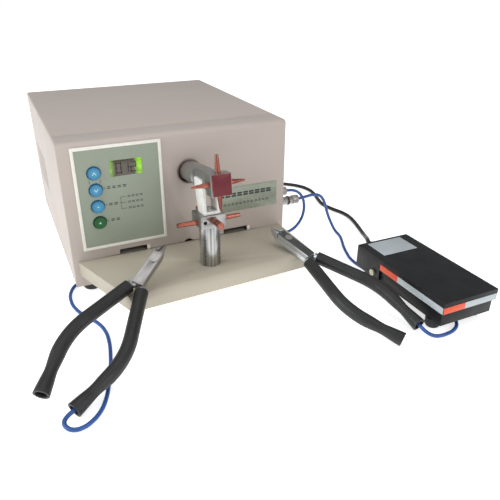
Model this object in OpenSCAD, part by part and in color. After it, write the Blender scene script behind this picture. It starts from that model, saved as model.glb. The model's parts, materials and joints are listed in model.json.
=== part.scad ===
// Benchtop spot welder: cabinet, electrode arm over a lower electrode head,
// two hand pliers on leads, and a foot switch on its cord.
// Origin at the middle of the front-left foot's underside.
// X runs to the right, Y to the back, Z up. Millimetres.

/* [Cabinet] */
// Width of the cabinet
cab_w = 240; // [220:1:290]
// Depth of the cabinet
cab_d = 264; // [230:1:320]
// Height of the cabinet above its feet
cab_h = 151; // [150:1:185]
// Sheet thickness
sheet = 1.5; // [1.2:0.1:2]
// Radius of the bend between front and top
edge_r = 5; // [3:0.5:8]
// Radius of the folds between top and sides
fold_r = 2; // [1.6:0.1:3]
// How far the front panel folds back over the top
front_return = 30; // [20:1:50]
// Height of the rubber feet
foot_h = 12; // [8:1:18]
// Diameter of the rubber feet
foot_d = 20; // [16:1:26]
// Distance from the cabinet's edges to the middle of a foot
foot_inset = 18; // [14:1:26]

/* [Control panel] */
// Left edge of the control panel from the cabinet's left side
panel_left = 12; // [8:1:20]
// Lower edge of the control panel above the cabinet's bottom
panel_low = 40; // [38:1:44]
// Width of the control panel
panel_w = 87; // [80:1:88]
// Height of the control panel
panel_h = 106; // [104:1:108]
// Width of the control panel's rim
rim_w = 3; // [2:0.5:5]
// How far the rim stands out
rim_out = 2; // [1:0.25:3]
// Diameter of a push button
button_d = 13.4; // [10:0.1:15]
// Travel of a push button
button_travel = 0.8; // [0.4:0.1:1.5]
// Distance between push buttons
button_pitch_gap = 3.7; // [3.2:0.1:4.1]
// Width of the display window
display_w = 31.5; // [26:0.5:36]
// Height of the display window
display_h = 16; // [12:0.5:20]

/* [Upper arm] */
// Height of the arm's pivot above the cabinet's bottom
pivot_up = 107.6; // [104:0.1:110]
// Distance of the arm's pivot behind the front
pivot_back = 11; // [10:0.5:14]
// Electrode axis from the cabinet's left side
arm_left = 127.5; // [124:0.5:132]
// Diameter of the arm
arm_d = 21; // [18:0.5:22]
// Rise of the arm at rest, in degrees
arm_rise = 8.7; // [7:0.1:9]
// Distance from the pivot to the upper electrodes
turret_reach = 94; // [90:1:96]
// Side of the square upper turret
turret_side = 20; // [18:0.5:22]
// Depth of the upper turret
turret_deep = 14; // [12:0.5:16]

/* [Lower head] */
// Distance of the column in front of the cabinet
column_out = 55; // [52:0.5:58]
// Diameter of the column
column_d = 21; // [18:0.5:23]
// Height of the column above the tray
column_h = 42; // [38:0.5:43]
// Backward lean of the lower head, in degrees
head_lean = 5; // [0:0.5:7]
// Side of the square lower turret
block_side = 26; // [24:0.5:28]
// Height of the lower turret
block_h = 12.6; // [12:0.2:14]

/* [Tray] */
// Width of the tray
tray_w = 230; // [200:1:234]
// Depth of the tray
tray_d = 90; // [80:1:96]
// Height of the tray's top above the cabinet's bottom
tray_up = 28.5; // [26:0.5:30]
// Height of the tray's edge
tray_h = 15.5; // [13:0.5:18]
// Sheet thickness of the tray
tray_sheet = 2; // [1.5:0.1:2.5]

/* [Pliers] */
// Length of the pliers from jaw tip to grip end
plier_len = 180; // [176:1:190]
// Width and thickness of the pliers' head
head_side = 10; // [9:0.5:11]
// Diameter of a grip sleeve
grip_d = 12.6; // [11.5:0.1:13]
// Diameter of the pliers' pivot
rivet_d = 6; // [5:0.5:7]

/* [Foot switch] */
// Width of the foot switch
pedal_w = 67; // [60:1:72]
// Length of the foot switch
pedal_l = 134; // [126:1:140]
// Height of the foot switch
pedal_h = 36; // [34:1:42]
// Height of the foot switch's rubber feet
pedal_foot_h = 10; // [8:0.5:12]
// Wall thickness of the foot switch's lid
lid_wall = 1.8; // [1.5:0.1:2.2]

/* [Cords] */
// Diameter of the plier leads
lead_d = 3.6; // [3:0.1:4]
// Diameter of the foot switch's cord
cord_d = 5; // [4.5:0.1:5.5]

/* [Hidden] */
$fn = 48;

// Clearances
run_gap = 0.05;      // radial, shaft in bore
slip_gap = 0.3;      // between pieces that pass each other
cut = 1;             // overshoot of a cutting solid

// Cabinet faces
left_x = -foot_inset;
right_x = left_x + cab_w;
front_y = -foot_inset;
rear_y = front_y + cab_d;
base_z = foot_h;
top_z = base_z + cab_h;
flange_h = 16;
foot_spots = [for (x = [0, cab_w - 2 * foot_inset], y = [0, cab_d - 2 * foot_inset]) [x, y]];
foot_screw_d = 4;
tab_side = 14;
rear_screw_d = 3;
rear_screw_inset = 9;
rear_screw_spots = [for (x = [left_x + rear_screw_inset, right_x - rear_screw_inset],
                         z = [base_z + flange_h + rear_screw_inset, top_z - rear_screw_inset]) [x, z]];

// Control panel, measured from its own lower left corner
panel_x = left_x + panel_left;
panel_z = base_z + panel_low;
back_plate = 1;
overlay_t = 0.6;
button_x = 19.4;
button_top = panel_h - 26.2;
button_proud = 2.4;
button_flange = 1.1;
button_pitch = button_d + button_pitch_gap;
button_spots = [for (i = [0:3]) button_top - i * button_pitch];
display_x = 35;
display_z = panel_h - 32;
board_gap = 9;
board_t = 1.6;
board_over = 4;
post_d = 6;

// Nameplate
plate_left = 150.5;
plate_up = 55;
plate_w = 80;
plate_h = 28;
plate_t = 0.8;

// Upper arm
arm_x = left_x + arm_left;
pivot_y = front_y + pivot_back;
pivot_z = base_z + pivot_up;
pin_d = 6;
flat_half = 5.2;
flat_from = 46.5;
flat_to = 79.5;
spigot_d = 10;
turret_rear = turret_reach - turret_deep / 2;
collar_end = turret_rear - slip_gap - 0.1;
spigot_end = turret_reach + turret_deep / 2 - 1.6;
tail_len = 45;
tail_w = 8;
tail_half = 7;
tail_root = 12;
spring_at = 38;
bush_swing = (pivot_back + 1.2) * sin(arm_rise);
bush_id = arm_d + bush_swing + 0.7;
bush_wall = 0.6;
bush_z = pivot_z + pivot_back * tan(arm_rise) / 2;
cheek_gap = 0.6;
cheek_t = 4;
bridge_t = 3;
bracket_deep = pivot_back + tail_len + 2;
spring_y = pivot_y + spring_at * cos(arm_rise) + tail_half * sin(arm_rise);
spring_low = pivot_z - spring_at * sin(arm_rise) + tail_half * cos(arm_rise) + 0.8;
spring_len = 20;
stop_z = pivot_z - tail_len * sin(arm_rise) - tail_half * cos(arm_rise) - slip_gap;

// Upper electrodes: angle from straight up, tip radius, tip diameter
upper_set = [[0, 26.5, 3.2], [90, 26, 1.8], [180, 25, 2.2], [270, 26, 1.8]];
electrode_d = 5.4;
electrode_root = 6.4;

// Lower head
column_y = front_y - column_out;
tray_z = base_z + tray_up;
column_top = tray_z + column_h;
spindle_d = 9;
block_low = 0.3;
fork_low = block_low + block_h + slip_gap;
fork_base_t = 2.8;
fork_leg_t = 2.8;
fork_inner = flat_half + slip_gap;
fork_top = 47;
side_level = 4.4;
front_level = 8;
lower_reach = 33;
front_electrode_d = 6.4;
stud_d = 8;
fork_screw_d = 4;

// Tray
tray_x = left_x + (cab_w - tray_w) / 2;
tray_front = front_y - tray_d;
tray_left_in = 31.5;
tray_right_back = 9.5;
tray_slant = atan(tray_left_in / tray_d);
tray_turn = atan(tray_right_back / (tray_w - tray_left_in));
tray_edge_r = 6;
hook_w = 27;
hook_spots = [left_x + 49, left_x + 166];
hook_in = 8;
wire_hole_d = 12;
bar_w = 10;
bar_t = 2.5;

// Pliers: points along the body, counted back from the jaw tip
rivet_at = 24;
head_end = 56;
jaw_root = 12.2;
swing_gap = 1.5;
layer_gap = 0.1;
core_d = 8;
grip_bore = 9;
grip_from = 59.5;
core_from = 56.7;
grip_out = 17.8;
grip_in = 14;
grip_r = 75;
grip_vertex = [-125.8, 27.8];
core_short = 12;
bend_lap = 0.5;
bend_len = grip_r * tan((grip_out + grip_in) / 2);
bend_centre = grip_vertex + bend_len * [cos(grip_out), -sin(grip_out)]
    + grip_r * [-sin(grip_out), -cos(grip_out)];
function on_run_out(x) = grip_vertex[1] - (x - grip_vertex[0]) * tan(grip_out);
function on_run_in(x) = grip_vertex[1] - (grip_vertex[0] - x) * tan(grip_in);
grip_half_gap = on_run_in(-plier_len);

// Each pair lies with one grip end on the bench and both grips over the tray's edge:
// bench point of the low grip end, heading in the tools' plane, side of the low grip,
// sideways roll, clearance above the tray's edge, and where along X they cross it
left_lie = [-49.6, -192, 46, -1, 0, 0.4, 27];
right_lie = [236.2, -226, 110.9, 1, 2, 0.1, 205];
lie_end_z = grip_d / 2 + 0.2;
lie_r = max(grip_d / 2, head_side / 2 + 0.9);
function tray_front_at(x) = tray_front + (x - tray_x - tray_left_in) * tan(tray_turn);
function tilt_of(lie) =
    let (dy = tray_front_at(lie[6]) + tray_edge_r - lie[1], dz = tray_z - tray_edge_r - lie_end_z)
    atan2(dz, dy) + asin((tray_edge_r + lie_r + lie[5]) / norm([dy, dz]));

// Foot switch
pedal_x = 309;
pedal_front = -230;
pedal_rear = pedal_front + pedal_l;
pedal_top_t = 2;
skirt_low = pedal_h - 11;
ear_from = pedal_rear - 40;
ear_low = pedal_foot_h + 0.6;
pedal_gap = 0.6;
pedal_rear_gap = 1.5;
base_wall = 2;
base_half = pedal_w / 2 - lid_wall - pedal_gap;
base_low = pedal_foot_h;
base_high = 27;
pedal_pivot_y = pedal_rear - 30;
pedal_pivot_z = 16.6;
pedal_pin_d = 4;
pedal_foot_d = 15;
pedal_spring_y = pedal_front + 34;
pedal_gland_x = pedal_x - 6;
pedal_gland_z = 25.5;

// Rear and right side
gland_x = left_x + 205;
gland_z = base_z + 34;
post_y = [front_y + 24, front_y + 54];
post_z = base_z + 45;
post_out = 33;
post_cap_len = 8;
inlet_x = left_x + 24;
inlet_z = base_z + 22;
fuse_x = left_x + 160;
switch_x = left_x + 96;
rear_row_z = base_z + 35;

// Routes of the free cords, chosen by hand
right_route = [[250, 6, 57], [258, 6, 57], [268, 6.2, 57.8], [279, 7, 58], [287.5, 7.7, 55.5],
    [293.8, 8.3, 49.5], [298.2, 8.8, 41], [302.2, 9.3, 30], [306, 9.4, 21], [309.3, 8.4, 13.5],
    [311.6, 6, 7.5], [312.8, 1.6, 3.6], [312.8, -5, 2.1], [310.6, -13, 2], [305.6, -24, 2], [299, -37.5, 2],
    [292.5, -54, 2], [288, -70, 2], [288.4, -90, 2], [293, -102, 2], [298, -123, 2], [303, -150, 2],
    [309, -182, 2], [311.2, -203, 2], [309.2, -215, 2], [303, -224.4, 2], [294, -229.6, 2], [284, -231.4, 2],
    [275, -231, 2.2], [270.4, -229.8, 3],
    [266.7, -227.2, 4.4], [264.4, -223.4, 6], [263.4, -219.2, 7.6], [262.9, -216, 8.5], [261.5, -205.6, 11.65]];
left_route = [[250, 36, 57], [258, 36, 57], [267, 36.4, 55.3], [275.5, 37, 50.5], [282, 38, 42],
    [285.4, 39, 31], [285.2, 39.5, 20], [281.5, 39, 10.8], [275, 37, 5], [266, 33, 2.3], [252, 28, 2],
    [228, 24.5, 2], [190, 24, 2], [145, 29, 2], [100, 33.5, 2], [60, 30, 2], [25, 22, 2], [-3, 13.5, 2],
    [-16, 6, 2], [-24, -8, 2], [-26.6, -27, 2], [-24, -45, 2], [-17, -62, 2], [-9.4, -77, 2], [-5.8, -93, 2],
    [-6, -110, 2], [-9, -130, 2], [-14, -152, 2], [-19.5, -171, 2], [-25, -186, 2], [-31, -196.5, 2],
    [-38.5, -204, 2], [-46, -207.8, 2], [-52.8, -207.6, 2.2], [-57.4, -203.4, 2.9], [-58.2, -198.6, 4],
    [-55.2, -194.9, 5.2], [-49.6, -192, 6.5], [-39.9, -186.5, 9.05]];
pedal_route = [[187, 250, 46], [187, 262, 46], [187, 270, 43], [189, 279, 34], [193, 287, 20], [200, 292, 8],
    [212, 293, 3], [232, 285.5, 2.7], [265, 255, 2.7], [300, 221, 2.7], [334, 191, 2.7], [353, 171, 2.7],
    [360, 151, 2.7], [358.5, 131, 2.7], [352, 109, 2.7], [348, 88, 2.7], [351.5, 67, 2.7], [356.5, 50, 2.7],
    [357, 35, 2.7], [353.8, 19, 2.7], [349.4, 4, 2.7], [344.4, -11, 2.9], [338, -26, 5], [330.4, -39, 9.5],
    [322, -51.5, 15], [314.2, -62.5, 20.5], [307.6, -71.5, 24.3], [303.7, -79, 25.4], [303, -86, 25.5],
    [303, -94.5, 25.5]];

// ---------- helpers ----------

// An outline in Y and Z, drawn out along X
module along_x(x0, x1) translate([x0, 0, 0]) rotate([90, 0, 90]) linear_extrude(x1 - x0) children();

// An outline in X and Z, drawn out along Y
module along_y(y0, y1) translate([0, y1, 0]) rotate([90, 0, 0]) linear_extrude(y1 - y0) children();

// A round bar along X, Y or Z from a given point
module bar_x(p, d, h) translate(p) rotate([0, 90, 0]) cylinder(d = d, h = h);
module bar_y(p, d, h) translate(p) rotate([-90, 0, 0]) cylinder(d = d, h = h);
module bar_z(p, d, h) translate(p) cylinder(d = d, h = h);

module block(low, high) translate(low) cube(high - low);

// A tube of radius r along a list of points
function unit(v) = v / norm(v);
function heading(p, i) = unit(p[min(i + 1, len(p) - 1)] - p[max(i - 1, 0)]);
function carried(p, i, n) = let (t = heading(p, i)) unit(n - (n * t) * t);
function first_side(p) = let (t = heading(p, 0)) carried(p, 0, abs(t[2]) > 0.9 ? [1, 0, 0] : [0, 0, 1]);
function side_list(p) = [for (i = 0, n = first_side(p); i < len(p); i = i + 1,
    n = i < len(p) ? carried(p, i, n) : n) n];
module tube(p, r, sides) {
    normals = side_list(p);
    rings = [for (i = [0:len(p) - 1], k = [0:sides - 1])
        let (n = normals[i], b = cross(heading(p, i), n), a = 360 * k / sides)
        p[i] + r * (cos(a) * n + sin(a) * b)];
    walls = [for (i = [0:len(p) - 2], k = [0:sides - 1])
        let (a = i * sides + k, b = i * sides + (k + 1) % sides) each
        [[a, a + sides, b], [b, a + sides, b + sides]]];
    ends = [[for (k = [0:sides - 1]) k],
        [for (k = [sides - 1:-1:0]) (len(p) - 1) * sides + k]];
    polyhedron(rings, concat(walls, ends));
}

// A compression spring standing on z = 0
module coil_spring(d, wire, h, turns) {
    steps = 12;
    pitch_h = h - wire;
    tube([for (i = [0:turns * steps])
        let (a = 360 * i / steps)
        [(d - wire) / 2 * cos(a), (d - wire) / 2 * sin(a), wire / 2 + pitch_h * i / (turns * steps)]],
        wire / 2, 6);
}

// A cone-shaped strain relief from the origin along +Y, with its flange inside the wall
module gland(wall) {
    difference() {
        union() {
            bar_y([0, 0, 0], 12, 2);
            translate([0, 2, 0]) rotate([-90, 0, 0]) cylinder(d1 = 10, d2 = 7.4, h = 13);
            bar_y([0, -wall, 0], 8, wall);
            bar_y([0, -wall - 2, 0], 12, 2);
        }
        bar_y([0, -wall - 2 - cut, 0], cord_d + 0.4, wall + 17 + 2 * cut);
    }
}

// ---------- cabinet ----------

// Front view of the cabinet, with rounded upper corners
module case_outline() {
    translate([left_x, base_z]) square([cab_w, cab_h - fold_r]);
    translate([left_x + fold_r, base_z]) square([cab_w - 2 * fold_r, cab_h]);
    for (x = [left_x + fold_r, right_x - fold_r]) translate([x, top_z - fold_r]) circle(fold_r);
}

// Side view from y0 to y1, with a rounded upper front corner
module bent_side(y0, y1, z0, z1, r) {
    translate([y0, z0]) square([y1 - y0, z1 - z0 - r]);
    translate([y0 + r, z0]) square([y1 - y0 - r, z1 - z0]);
    translate([y0 + r, z1 - r]) circle(r);
}

module base_pan() color("tan") difference() {
    union() {
        block([left_x + sheet, front_y + sheet, base_z], [right_x - sheet, rear_y - sheet, base_z + sheet]);
        for (x = [left_x + sheet, right_x - 2 * sheet])
            block([x, front_y + sheet, base_z], [x + sheet, rear_y - sheet, base_z + flange_h]);
    }
    for (p = foot_spots) bar_z([p[0], p[1], base_z - cut], foot_screw_d + 0.2, sheet + 2 * cut);
    for (i = [0:6]) block([60 + 14 * i, 60, base_z - cut], [64 + 14 * i, 100, base_z + sheet + cut]);
}

module top_cover() color("tan") intersection() {
    along_y(front_y + sheet, rear_y) case_outline();
    difference() {
        union() {
            for (x = [left_x, right_x - sheet]) along_x(x, x + sheet)
                bent_side(front_y + sheet, rear_y, base_z, top_z - sheet, edge_r - sheet);
            block([left_x, front_y + front_return, top_z - sheet], [right_x, rear_y, top_z]);
            for (p = rear_screw_spots) let (s = p[0] < arm_x ? 1 : -1)
                block([min(p[0] - s * rear_screw_inset, p[0] + s * (tab_side - rear_screw_inset)),
                    rear_y - 2 * sheet, p[1] - tab_side / 2],
                    [max(p[0] - s * rear_screw_inset, p[0] + s * (tab_side - rear_screw_inset)),
                    rear_y - sheet, p[1] + tab_side / 2]);
        }
        for (p = rear_screw_spots)
            bar_y([p[0], rear_y - 3 * sheet, p[1]], rear_screw_d + 0.2, 3 * sheet);
        for (y = post_y) bar_x([right_x - 2 * sheet, y, post_z], 8, 3 * sheet);
        for (i = [0:7], x = [left_x - cut, right_x - 2 * sheet])
            block([x, rear_y - 110 + 10 * i, base_z + 50], [x + 3 * sheet, rear_y - 106 + 10 * i, base_z + 95]);
    }
}

module front_panel() color("tan") difference() {
    intersection() {
        along_y(front_y, front_y + front_return) case_outline();
        along_x(left_x, right_x) difference() {
            bent_side(front_y, front_y + front_return, base_z, top_z, edge_r);
            bent_side(front_y + sheet, front_y + front_return + edge_r, base_z - cut, top_z - sheet,
                edge_r - sheet);
        }
    }
    block([panel_x + 2 * rim_w, front_y - cut, panel_z + 2 * rim_w],
        [panel_x + panel_w - 2 * rim_w, front_y + sheet + cut, panel_z + panel_h - 2 * rim_w]);
    bar_y([arm_x, front_y - cut, bush_z], bush_id + 2 * bush_wall, sheet + 2 * cut);
    bar_y([arm_x - 4, front_y - cut, tray_z - 3], wire_hole_d, sheet + 2 * cut);
    for (x = hook_spots)
        block([x - 1, front_y - cut, tray_z - tray_sheet - 0.5], [x + hook_w + 1, front_y + sheet + cut, tray_z + 5.5]);
}

module rear_panel() color("tan") difference() {
    block([left_x + sheet, rear_y - sheet, base_z], [right_x - sheet, rear_y, top_z - sheet]);
    for (p = rear_screw_spots)
        bar_y([p[0], rear_y - 2 * sheet, p[1]], rear_screw_d + 0.2, 3 * sheet);
    block([inlet_x, rear_y - 2 * sheet, inlet_z], [inlet_x + 28, rear_y + cut, inlet_z + 20]);
    bar_y([fuse_x, rear_y - 2 * sheet, rear_row_z], 12, 3 * sheet);
    block([switch_x, rear_y - 2 * sheet, rear_row_z - 10], [switch_x + 13, rear_y + cut, rear_row_z + 10]);
    bar_y([gland_x, rear_y - 2 * sheet, gland_z], 8.2, 3 * sheet);
    for (i = [0:11]) block([left_x + 60 + 10 * i, rear_y - 2 * sheet, base_z + 75],
        [left_x + 64 + 10 * i, rear_y + cut, base_z + 125]);
}

module cabinet_feet() color("dimgray") for (p = foot_spots) translate([p[0], p[1], 0]) difference() {
    union() {
        cylinder(d1 = foot_d - 3, d2 = foot_d - 1, h = 2);
        translate([0, 0, 2]) cylinder(d1 = foot_d - 1, d2 = foot_d, h = foot_h - 2);
    }
    bar_z([0, 0, foot_h - 9], foot_screw_d, 9 + cut);
}

// Foot screws come down from inside the cabinet; cover screws go in from behind
module case_screws() color("silver") {
    for (p = foot_spots) {
        bar_z([p[0], p[1], base_z + sheet], 7.5, 2.4);
        bar_z([p[0], p[1], foot_h - 8], foot_screw_d - 0.1, 8 + sheet);
    }
    for (p = rear_screw_spots) {
        bar_y([p[0], rear_y, p[1]], 6, 2);
        bar_y([p[0], rear_y - 8, p[1]], rear_screw_d, 8);
    }
}

// ---------- control panel ----------

module on_panel() translate([panel_x, front_y, panel_z]) children();

module panel_frame() color("beige") on_panel() difference() {
    block([0, -rim_out, 0], [panel_w, 0, panel_h]);
    block([rim_w, -rim_out - cut, rim_w], [panel_w - rim_w, -back_plate, panel_h - rim_w]);
    for (z = button_spots) bar_y([button_x, -rim_out - cut, z], button_d + 2 * slip_gap, rim_out + 2 * cut);
    block([display_x, -rim_out - cut, display_z], [display_x + display_w, cut, display_z + display_h]);
}

module panel_overlay() color("darkseagreen") on_panel() difference() {
    block([rim_w, -back_plate - overlay_t, rim_w], [panel_w - rim_w, -back_plate, panel_h - rim_w]);
    for (z = button_spots) bar_y([button_x, -rim_out - cut, z], button_d + 2 * slip_gap, rim_out + 2 * cut);
    block([display_x, -rim_out - cut, display_z], [display_x + display_w, cut, display_z + display_h]);
}

module display_lens() color("yellowgreen") on_panel()
    block([display_x + 0.1, -back_plate - overlay_t, display_z + 0.1],
        [display_x + display_w - 0.1, 0, display_z + display_h - 0.1]);

module display_module() color("black") on_panel()
    block([display_x - 2, 0.3, display_z - 2], [display_x + display_w + 2, board_gap, display_z + display_h + 2]);

module push_button(z) on_panel() {
    bar_y([button_x, -back_plate - overlay_t - button_proud, z], button_d,
        button_proud + back_plate + overlay_t + slip_gap);
    bar_y([button_x, slip_gap, z], button_d + 2.2, button_flange);
    bar_y([button_x, slip_gap, z], 5, board_gap - 3.6 - slip_gap - button_travel);
}
module button_1() color("deepskyblue") push_button(button_spots[0]);
module button_2() color("deepskyblue") push_button(button_spots[1]);
module button_3() color("deepskyblue") push_button(button_spots[2]);
module button_4() color("green") push_button(button_spots[3]);

// Control board behind the panel on four posts, and the power board on the base
module circuit_boards() color("darkgreen") {
    on_panel() {
        block([rim_w - board_over, board_gap, rim_w - board_over],
            [panel_w - rim_w + board_over, board_gap + board_t, panel_h - rim_w + board_over]);
        for (z = button_spots) block([button_x - 3, board_gap - 3.4, z - 3], [button_x + 3, board_gap, z + 3]);
        for (x = [rim_w, panel_w - rim_w], z = [rim_w, panel_h - rim_w])
            bar_y([x, sheet, z], post_d, board_gap - sheet);
    }
    translate([0, 120, base_z + sheet]) {
        block([-4, 0, 6], [66, 100, 6 + board_t]);
        for (x = [2, 50], y = [6, 94]) bar_z([x, y, 0], post_d, 6);
        block([8, 60, 6 + board_t], [54, 92, 34]);
        for (x = [16, 40]) bar_z([x, 22, 6 + board_t], 20, 34);
    }
}

module nameplate() color("darkseagreen")
    block([left_x + plate_left, front_y - plate_t, base_z + plate_up],
        [left_x + plate_left + plate_w, front_y, base_z + plate_up + plate_h]);

// ---------- upper arm ----------

// Frame of the arm: pivot at the origin, the arm runs towards -Y
module at_arm() translate([arm_x, pivot_y, pivot_z]) rotate([-arm_rise, 0, 0]) children();
module at_turret() at_arm() translate([0, -turret_reach, 0]) children();

module arm_bush() color("black") difference() {
    union() {
        bar_y([arm_x, front_y - 1.2, bush_z], bush_id + 2 * bush_wall + 1.4, 1.2);
        bar_y([arm_x, front_y, bush_z], bush_id + 2 * bush_wall, sheet + 1);
    }
    bar_y([arm_x, front_y - 2 * cut, bush_z], bush_id, sheet + 4 * cut);
}

// A channel behind the front panel: two cheeks, a bridge over the spring and a stop below
module arm_bracket() color("goldenrod") {
    inner = arm_d / 2 + cheek_gap;
    difference() {
        union() {
            for (s = [-1, 1]) {
                block([arm_x + min(s * inner, s * (inner + cheek_t)), front_y + sheet, stop_z - bridge_t],
                    [arm_x + max(s * inner, s * (inner + cheek_t)), front_y + bracket_deep,
                    spring_low + spring_len + bridge_t]);
                block([arm_x + min(s * inner, s * (inner + 14)), front_y + sheet, stop_z - bridge_t],
                    [arm_x + max(s * inner, s * (inner + 14)), front_y + sheet + 3,
                    spring_low + spring_len + bridge_t]);
            }
            block([arm_x - inner, spring_y - 8, spring_low + spring_len],
                [arm_x + inner, spring_y + 8, spring_low + spring_len + bridge_t]);
            block([arm_x - inner, spring_y - 8, stop_z - bridge_t],
                [arm_x + inner, spring_y + 8, stop_z]);
        }
        bar_x([arm_x - 2 * inner, pivot_y, pivot_z], pin_d, 4 * inner);
        bar_y([arm_x, front_y, bush_z], bush_id + 2 * bush_wall + slip_gap, sheet + 1.2);
    }
}

module arm_pin() color("silver") let (half = arm_d / 2 + cheek_gap + cheek_t + 1)
    bar_x([arm_x - half, pivot_y, pivot_z], pin_d, 2 * half);

module upper_arm() color("silver") at_arm() difference() {
    union() {
        bar_y([0, -collar_end, 0], arm_d, collar_end + tail_root);
        bar_y([0, -spigot_end, 0], spigot_d, spigot_end - collar_end + cut);
        block([-tail_w / 2, 0, -tail_half], [tail_w / 2, tail_len, tail_half]);
    }
    for (s = [-1, 1]) translate([s * (flat_half + arm_d / 2), -(flat_from + flat_to) / 2, 0])
        cube([arm_d, flat_to - flat_from, 2 * arm_d], center = true);
    bar_x([-arm_d, 0, 0], pin_d + 2 * run_gap, 2 * arm_d);
    bar_x([-arm_d, -(flat_to + 3.4), 0], 3.4, arm_d);
}

// Detent screw in the arm's collar
module arm_screw() color("silver") at_arm() {
    bar_x([-arm_d / 2 + 1, -(flat_to + 3.4), 0], 3.3, 6);
    bar_x([-arm_d / 2 - 0.6, -(flat_to + 3.4), 0], 3.3, 1.6);
}

module arm_spring() color("gray") translate([arm_x, spring_y, spring_low]) coil_spring(10, 1.2, spring_len, 6);

module turret_block() color("silver") at_turret() difference() {
    block([-turret_side / 2, -turret_deep / 2, -turret_side / 2], [turret_side / 2, turret_deep / 2, turret_side / 2]);
    bar_y([0, -turret_deep / 2 + 1.2, 0], spigot_d + 2 * run_gap, turret_deep);
    for (e = upper_set) rotate([0, e[0], 0]) bar_z([0, 0, electrode_root], electrode_d + 0.1, turret_side);
}

module turret_face() color("firebrick") at_turret()
    block([-turret_side / 2 + 0.7, -turret_deep / 2 - 1.4, -turret_side / 2],
        [turret_side / 2 - 0.7, -turret_deep / 2, turret_side / 2]);

module upper_electrodes() color("peru") at_turret() for (e = upper_set) rotate([0, e[0], 0]) {
    bar_z([0, 0, electrode_root], electrode_d, 4.6);
    translate([0, 0, electrode_root + 4.6])
        cylinder(d1 = electrode_d, d2 = e[2], h = e[1] - electrode_root - 4.6);
}

// ---------- lower head ----------

module at_head() translate([arm_x, column_y, column_top]) rotate([-head_lean, 0, 0]) children();

module column() color("silver") {
    difference() {
        bar_z([arm_x, column_y, tray_z], column_d, column_h + 4);
        at_head() block([-column_d, -column_d, 0], [column_d, column_d, 10]);
    }
    difference() {
        at_head() bar_z([0, 0, -6], spindle_d, fork_low + 6);
        at_head() bar_z([0, 0, fork_low - 9], fork_screw_d, 10);
    }
    bar_z([arm_x, column_y, tray_z - tray_sheet - bar_t - 9], stud_d, tray_sheet + bar_t + 9 + cut);
}

module lower_block() color("silver") at_head() difference() {
    block([-block_side / 2, -block_side / 2, block_low], [block_side / 2, block_side / 2, block_low + block_h]);
    bar_z([0, 0, 0], spindle_d + 2 * run_gap, 2 * block_h);
    for (s = [0, 180]) rotate([0, 0, s]) bar_x([electrode_root, 0, side_level], electrode_d + 0.1, block_side);
    rotate([0, 0, -90]) bar_x([electrode_root, 0, front_level], front_electrode_d + 0.1, block_side);
    rotate([0, 0, 90]) bar_x([electrode_root, 0, front_level], electrode_d + 0.1, block_side);
    bar_y([-8.6, -block_side, front_level - 1.4], 3.6, block_side - electrode_root);
}

// Side electrodes taper a little; the front one has a flat ground on top of its tip
module lower_electrodes() color("peru") at_head() {
    for (s = [0, 90, 180]) rotate([0, 0, s]) translate([electrode_root, 0, s == 90 ? front_level : side_level])
        rotate([0, 90, 0]) {
            cylinder(d = electrode_d, h = 8);
            translate([0, 0, 8]) cylinder(d1 = electrode_d, d2 = electrode_d - 1.2, h = lower_reach - electrode_root - 8);
        }
    difference() {
        rotate([0, 0, -90]) bar_x([electrode_root, 0, front_level], front_electrode_d, lower_reach - electrode_root - 1);
        translate([0, -lower_reach + 1, front_level]) rotate([-38, 0, 0])
            block([-5, -5, -12], [5, 0.2, -1.2]);
    }
}

module guide_fork() color("ivory") at_head() difference() {
    union() {
        block([-fork_inner - fork_leg_t, -10.5, fork_low], [fork_inner + fork_leg_t, 7, fork_low + fork_base_t]);
        for (x = [-fork_inner - fork_leg_t, fork_inner]) along_x(x, x + fork_leg_t)
            polygon([[-10.5, fork_low], [7, fork_low], [13, fork_top - 1.5], [11, fork_top], [-8, fork_top],
                [-9.5, fork_top - 1.5]]);
    }
    bar_z([0, 0, fork_low - cut], fork_screw_d + 0.2, fork_base_t + 2 * cut);
}

// The screw that holds the fork on the spindle, and the nut under the tray
module column_fasteners() color("silver") {
    at_head() {
        bar_z([0, 0, fork_low + fork_base_t], 7, 2);
        bar_z([0, 0, fork_low - 8], fork_screw_d - 0.1, 8 + fork_base_t);
    }
    translate([arm_x, column_y, tray_z - tray_sheet - bar_t - 6.5]) difference() {
        cylinder(d = 15, h = 6.5, $fn = 6);
        bar_z([0, 0, -cut], stud_d, 6.5 + 2 * cut);
    }
}

// A folded shelf that hooks into two slots in the front panel
// The tray's outline narrows at its left end, and its front edge runs back a little to the
// right; the same shape set in by the sheet is its hollow
module tray_shape(in) intersection() {
    translate([tray_x + tray_left_in, tray_front, 0]) rotate([0, 0, tray_turn])
        along_x(-tray_w / 2, tray_w)
            bent_side(in, 2 * tray_d, tray_z - tray_h - sign(in) * cut, tray_z - in, tray_edge_r - in);
    translate([0, 0, tray_z - tray_h - 1]) linear_extrude(tray_h + 2) polygon([
        [tray_x + in / cos(tray_slant) - sign(in) * cut * tan(tray_slant), front_y + sign(in) * cut],
        [tray_x + in / cos(tray_slant) + (tray_d + 10) * tan(tray_slant), tray_front - 10],
        [tray_x + tray_w - in, tray_front - 10], [tray_x + tray_w - in, front_y + sign(in) * cut]]);
}

module tray() color("tan") difference() {
    union() {
        difference() {
            tray_shape(0);
            tray_shape(tray_sheet);
        }
        for (x = hook_spots) {
            block([x, front_y - cut, tray_z - tray_sheet], [x + hook_w, front_y + hook_in, tray_z]);
            block([x, front_y + hook_in - tray_sheet, tray_z - 10], [x + hook_w, front_y + hook_in, tray_z]);
        }
    }
    bar_z([arm_x, column_y, tray_z - 2 * tray_sheet], stud_d + 0.2, 3 * tray_sheet);
}

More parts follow.
